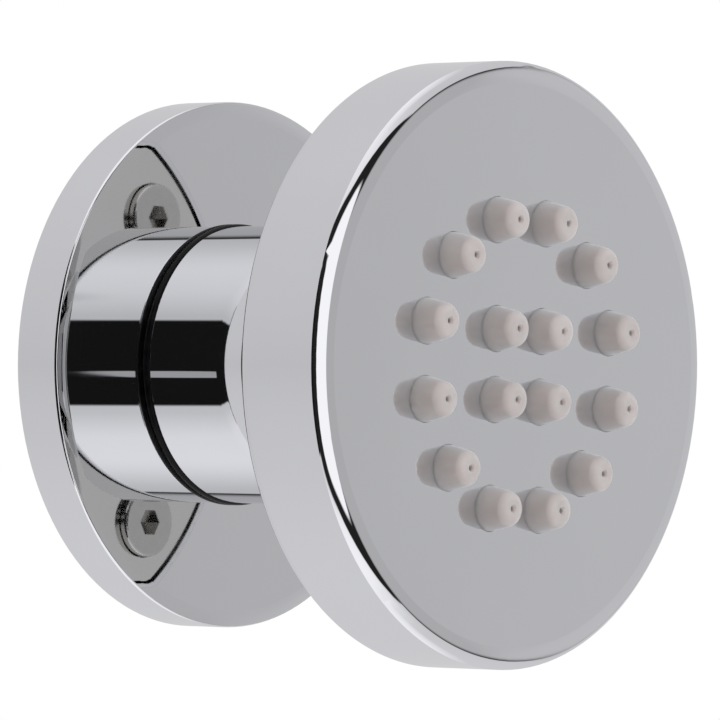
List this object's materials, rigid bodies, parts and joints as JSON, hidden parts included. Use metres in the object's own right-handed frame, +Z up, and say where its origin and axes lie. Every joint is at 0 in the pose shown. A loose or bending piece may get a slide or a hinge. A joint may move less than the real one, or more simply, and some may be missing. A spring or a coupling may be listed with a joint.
{
  "type": "shower body jet",
  "caption": "Chrome wall-mounted shower body jet: round wall plate, short neck with a ball swivel, and a thick round head with soft spray nozzles.",
  "frame": {"origin": "centre of the wall plate's back, on the wall plane and on the jet's axis", "axes": "+Y into the wall along the inlet thread, -Y out of the wall towards the spray face, +Z up"},
  "size_m": [0.07, 0.0669, 0.07],
  "materials": {
    "chrome": "polished chrome plate on brass",
    "brass": "turned brass",
    "steel": "stainless steel",
    "silicone": "satin grey silicone",
    "black_rubber": "black moulded rubber",
    "foam": "closed-cell foam",
    "white_plastic": "natural acetal",
    "grey_plastic": "moulded plastic"
  },
  "bodies": {
    "wall_fitting": {"wall_plate": "chrome", "wall_gasket": "foam", "inlet_body": "brass", "inlet_filter": "white_plastic", "flow_restrictor": "grey_plastic", "restrictor_o_ring": "black_rubber", "collar_seal": "black_rubber", "neck_collar": "chrome", "rear_ball_seat": "white_plastic", "rear_seat_o_ring": "black_rubber"},
    "swivel_ring": {"front_ball_seat": "white_plastic"},
    "spray_head": {"swivel_ball": "chrome", "stem_o_ring": "black_rubber", "stem_lock_nut": "brass", "back_plate": "chrome", "back_screws": "steel", "head_gasket": "black_rubber", "head_shell": "chrome", "nozzle_mat": "silicone", "spray_plate": "grey_plastic"}
  },
  "joints": [
    {"name": "swivel_turn", "type": "hinge", "parent": "wall_fitting", "child": "swivel_ring", "pos_m": [0, -0.0132, 0], "axis": [0, -1, 0], "continuous": true},
    {"name": "swivel_tilt", "type": "hinge", "parent": "swivel_ring", "child": "spray_head", "pos_m": [0, -0.0132, 0], "axis": [1, 0, 0], "range_deg": [-20, 20]}
  ]
}
